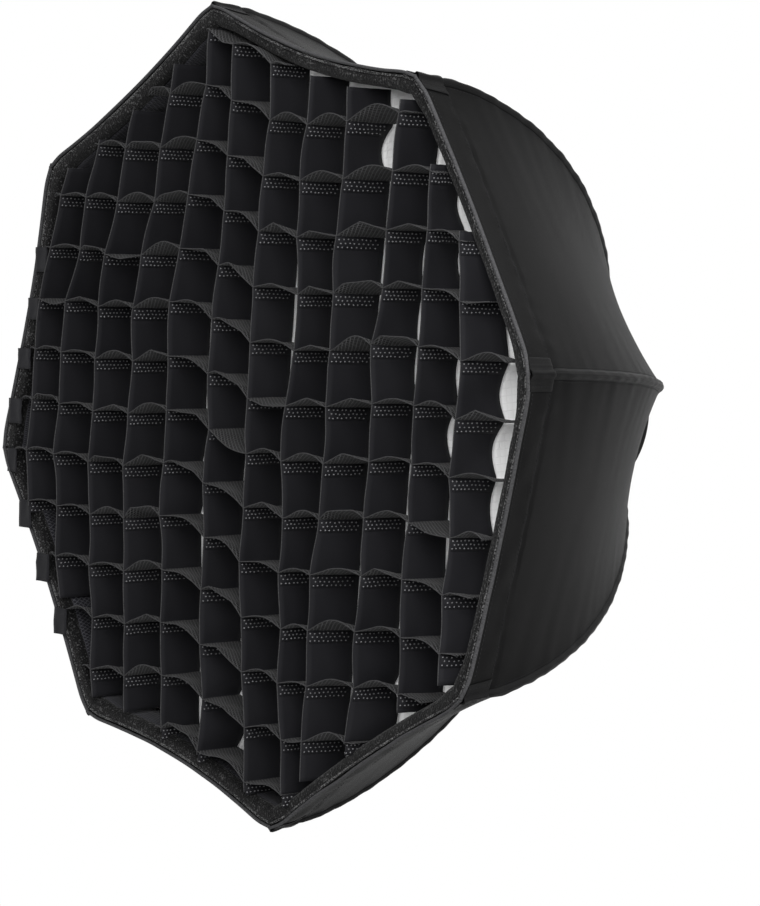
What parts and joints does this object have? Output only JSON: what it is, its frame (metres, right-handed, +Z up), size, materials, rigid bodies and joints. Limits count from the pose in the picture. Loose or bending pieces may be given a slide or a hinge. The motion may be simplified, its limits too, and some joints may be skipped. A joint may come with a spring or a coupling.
{
  "type": "octabox",
  "caption": "Folding octagonal softbox with curved ribs, a sliding runner, struts, a sewn shell, a diffuser and an egg-crate grid on a bayonet ring.",
  "frame": {"origin": "centre of the seat face, on the axis of the light opening", "axes": "+Y points back towards the lamp, -Y is the side the light leaves, +Z goes up through the first rib, +X is to the right seen from the front"},
  "size_m": [0.5996, 0.3698, 0.5996],
  "materials": {
    "black_plastic": "fine moulded texture",
    "satin_metal": "satin, turned",
    "dark_steel": "plain",
    "red_plastic": "semi-gloss",
    "bush_plastic": "smooth",
    "rib_rod": "black, satin",
    "shell_fabric": "tight woven nylon with a coated back",
    "hem_tape": "ribbed tape",
    "shell_lining": "silver coated, finely pebbled",
    "diffuser_fabric": "white ripstop",
    "hook_and_loop": "looped pile",
    "grid_fabric": "black woven strips with a sewn edge"
  },
  "bodies": {
    "rear_mount": {"mount_ring": "black_plastic", "bayonet_ring": "satin_metal", "hub_ring": "black_plastic", "ring_screws": "dark_steel", "guide_rods": "satin_metal", "rib_pins": "dark_steel", "latch_leaves": "dark_steel", "collar_band": "black_plastic", "rear_skirt": "shell_fabric", "button_springs": "dark_steel"},
    "button_1": {"release_button_1": "red_plastic"},
    "button_2": {"release_button_2": "red_plastic"},
    "runner": {"runner_ring": "black_plastic", "runner_bushes": "bush_plastic", "strut_pins": "dark_steel"},
    "strut_1": {"strut_1": "black_plastic"},
    "strut_2": {"strut_2": "black_plastic"},
    "strut_3": {"strut_3": "black_plastic"},
    "strut_4": {"strut_4": "black_plastic"},
    "strut_5": {"strut_5": "black_plastic"},
    "strut_6": {"strut_6": "black_plastic"},
    "strut_7": {"strut_7": "black_plastic"},
    "strut_8": {"strut_8": "black_plastic"},
    "rib_1": {"rib_1": "rib_rod", "rib_fittings_1": "black_plastic", "panel_1": "shell_fabric", "hem_1": "hem_tape"},
    "rib_2": {"rib_2": "rib_rod", "rib_fittings_2": "black_plastic", "panel_2": "shell_fabric", "hem_2": "hem_tape"},
    "rib_3": {"rib_3": "rib_rod", "rib_fittings_3": "black_plastic", "panel_3": "shell_fabric", "hem_3": "hem_tape"},
    "rib_4": {"rib_4": "rib_rod", "rib_fittings_4": "black_plastic", "panel_4": "shell_fabric", "hem_4": "hem_tape"},
    "rib_5": {"rib_5": "rib_rod", "rib_fittings_5": "black_plastic", "panel_5": "shell_fabric", "hem_5": "hem_tape"},
    "rib_6": {"rib_6": "rib_rod", "rib_fittings_6": "black_plastic", "panel_6": "shell_fabric", "hem_6": "hem_tape"},
    "rib_7": {"rib_7": "rib_rod", "rib_fittings_7": "black_plastic", "panel_7": "shell_fabric", "hem_7": "hem_tape"},
    "rib_8": {"rib_8": "rib_rod", "rib_fittings_8": "black_plastic", "panel_8": "shell_fabric", "hem_8": "hem_tape"},
    "diffuser": {"diffuser_panel": "diffuser_fabric", "diffuser_border": "hook_and_loop"},
    "grid": {"grid_border": "hook_and_loop", "grid_columns": "grid_fabric", "grid_rows": "grid_fabric"}
  },
  "joints": [
    {"name": "runner_slide", "type": "slide", "parent": "rear_mount", "child": "runner", "axis": [0, -1, 0], "range_m": [0, 0.02957]},
    {"name": "rib_1_hinge", "type": "hinge", "parent": "rear_mount", "child": "rib_1", "pos_m": [0, -0.026, 0.056], "axis": [1, 0, 0], "range_deg": [0, 36.02], "deforming": ["panel_1", "hem_1"]},
    {"name": "rib_2_hinge", "type": "hinge", "parent": "rear_mount", "child": "rib_2", "pos_m": [0.0396, -0.026, 0.0396], "axis": [0.7071, 0, -0.7071], "range_deg": [0, 36.02], "deforming": ["panel_2", "hem_2"]},
    {"name": "rib_3_hinge", "type": "hinge", "parent": "rear_mount", "child": "rib_3", "pos_m": [0.056, -0.026, 0], "axis": [0, 0, -1], "range_deg": [0, 36.02], "deforming": ["panel_3", "hem_3"]},
    {"name": "rib_4_hinge", "type": "hinge", "parent": "rear_mount", "child": "rib_4", "pos_m": [0.0396, -0.026, -0.0396], "axis": [-0.7071, 0, -0.7071], "range_deg": [0, 36.02], "deforming": ["panel_4", "hem_4"]},
    {"name": "rib_5_hinge", "type": "hinge", "parent": "rear_mount", "child": "rib_5", "pos_m": [0, -0.026, -0.056], "axis": [-1, 0, 0], "range_deg": [0, 36.02], "deforming": ["panel_5", "hem_5"]},
    {"name": "rib_6_hinge", "type": "hinge", "parent": "rear_mount", "child": "rib_6", "pos_m": [-0.0396, -0.026, -0.0396], "axis": [-0.7071, 0, 0.7071], "range_deg": [0, 36.02], "deforming": ["panel_6", "hem_6"]},
    {"name": "rib_7_hinge", "type": "hinge", "parent": "rear_mount", "child": "rib_7", "pos_m": [-0.056, -0.026, 0], "axis": [0, 0, 1], "range_deg": [0, 36.02], "deforming": ["panel_7", "hem_7"]},
    {"name": "rib_8_hinge", "type": "hinge", "parent": "rear_mount", "child": "rib_8", "pos_m": [-0.0396, -0.026, 0.0396], "axis": [0.7071, 0, 0.7071], "range_deg": [0, 36.02], "deforming": ["panel_8", "hem_8"]},
    {"name": "strut_1_hinge", "type": "hinge", "parent": "runner", "child": "strut_1", "pos_m": [0, -0.072, 0.055], "axis": [-1, 0, 0], "range_deg": [0, 39.83]},
    {"name": "strut_2_hinge", "type": "hinge", "parent": "runner", "child": "strut_2", "pos_m": [0.03889, -0.072, 0.03889], "axis": [-0.7071, 0, 0.7071], "range_deg": [0, 39.83]},
    {"name": "strut_3_hinge", "type": "hinge", "parent": "runner", "child": "strut_3", "pos_m": [0.055, -0.072, 0], "axis": [0, 0, 1], "range_deg": [0, 39.83]},
    {"name": "strut_4_hinge", "type": "hinge", "parent": "runner", "child": "strut_4", "pos_m": [0.03889, -0.072, -0.03889], "axis": [0.7071, 0, 0.7071], "range_deg": [0, 39.83]},
    {"name": "strut_5_hinge", "type": "hinge", "parent": "runner", "child": "strut_5", "pos_m": [0, -0.072, -0.055], "axis": [1, 0, 0], "range_deg": [0, 39.83]},
    {"name": "strut_6_hinge", "type": "hinge", "parent": "runner", "child": "strut_6", "pos_m": [-0.03889, -0.072, -0.03889], "axis": [0.7071, 0, -0.7071], "range_deg": [0, 39.83]},
    {"name": "strut_7_hinge", "type": "hinge", "parent": "runner", "child": "strut_7", "pos_m": [-0.055, -0.072, 0], "axis": [0, 0, -1], "range_deg": [0, 39.83]},
    {"name": "strut_8_hinge", "type": "hinge", "parent": "runner", "child": "strut_8", "pos_m": [-0.03889, -0.072, 0.03889], "axis": [-0.7071, 0, -0.7071], "range_deg": [0, 39.83]},
    {"name": "diffuser_pull", "type": "slide", "parent": "rear_mount", "child": "diffuser", "axis": [0, -1, 0], "range_m": [0, 0.15], "deforming": ["diffuser_panel", "diffuser_border"]},
    {"name": "grid_pull", "type": "slide", "parent": "rear_mount", "child": "grid", "axis": [0, -1, 0], "range_m": [0, 0.2101], "deforming": ["grid_border", "grid_columns", "grid_rows"]},
    {"name": "button_1_press", "type": "slide", "parent": "rear_mount", "child": "button_1", "axis": [0, -1, 0], "range_m": [0, 0.003], "stiffness_N_per_m": 900, "springref_m": -0.002, "deforming": ["button_springs"]},
    {"name": "button_2_press", "type": "slide", "parent": "rear_mount", "child": "button_2", "axis": [0, -1, 0], "range_m": [0, 0.003], "stiffness_N_per_m": 900, "springref_m": -0.002, "deforming": ["button_springs"]}
  ],
  "couplings": [
    {"joint": "rib_1_hinge", "follows": "runner_slide", "rad_per_m": 21.258},
    {"joint": "rib_2_hinge", "follows": "runner_slide", "rad_per_m": 21.258},
    {"joint": "rib_3_hinge", "follows": "runner_slide", "rad_per_m": 21.258},
    {"joint": "rib_4_hinge", "follows": "runner_slide", "rad_per_m": 21.258},
    {"joint": "rib_5_hinge", "follows": "runner_slide", "rad_per_m": 21.258},
    {"joint": "rib_6_hinge", "follows": "runner_slide", "rad_per_m": 21.258},
    {"joint": "rib_7_hinge", "follows": "runner_slide", "rad_per_m": 21.258},
    {"joint": "rib_8_hinge", "follows": "runner_slide", "rad_per_m": 21.258},
    {"joint": "strut_1_hinge", "follows": "runner_slide", "rad_per_m": 23.506},
    {"joint": "strut_2_hinge", "follows": "runner_slide", "rad_per_m": 23.506},
    {"joint": "strut_3_hinge", "follows": "runner_slide", "rad_per_m": 23.506},
    {"joint": "strut_4_hinge", "follows": "runner_slide", "rad_per_m": 23.506},
    {"joint": "strut_5_hinge", "follows": "runner_slide", "rad_per_m": 23.506},
    {"joint": "strut_6_hinge", "follows": "runner_slide", "rad_per_m": 23.506},
    {"joint": "strut_7_hinge", "follows": "runner_slide", "rad_per_m": 23.506},
    {"joint": "strut_8_hinge", "follows": "runner_slide", "rad_per_m": 23.506},
    {"joint": "diffuser_pull", "follows": "runner_slide", "ratio": 5.0727},
    {"joint": "grid_pull", "follows": "runner_slide", "ratio": 7.1018}
  ]
}
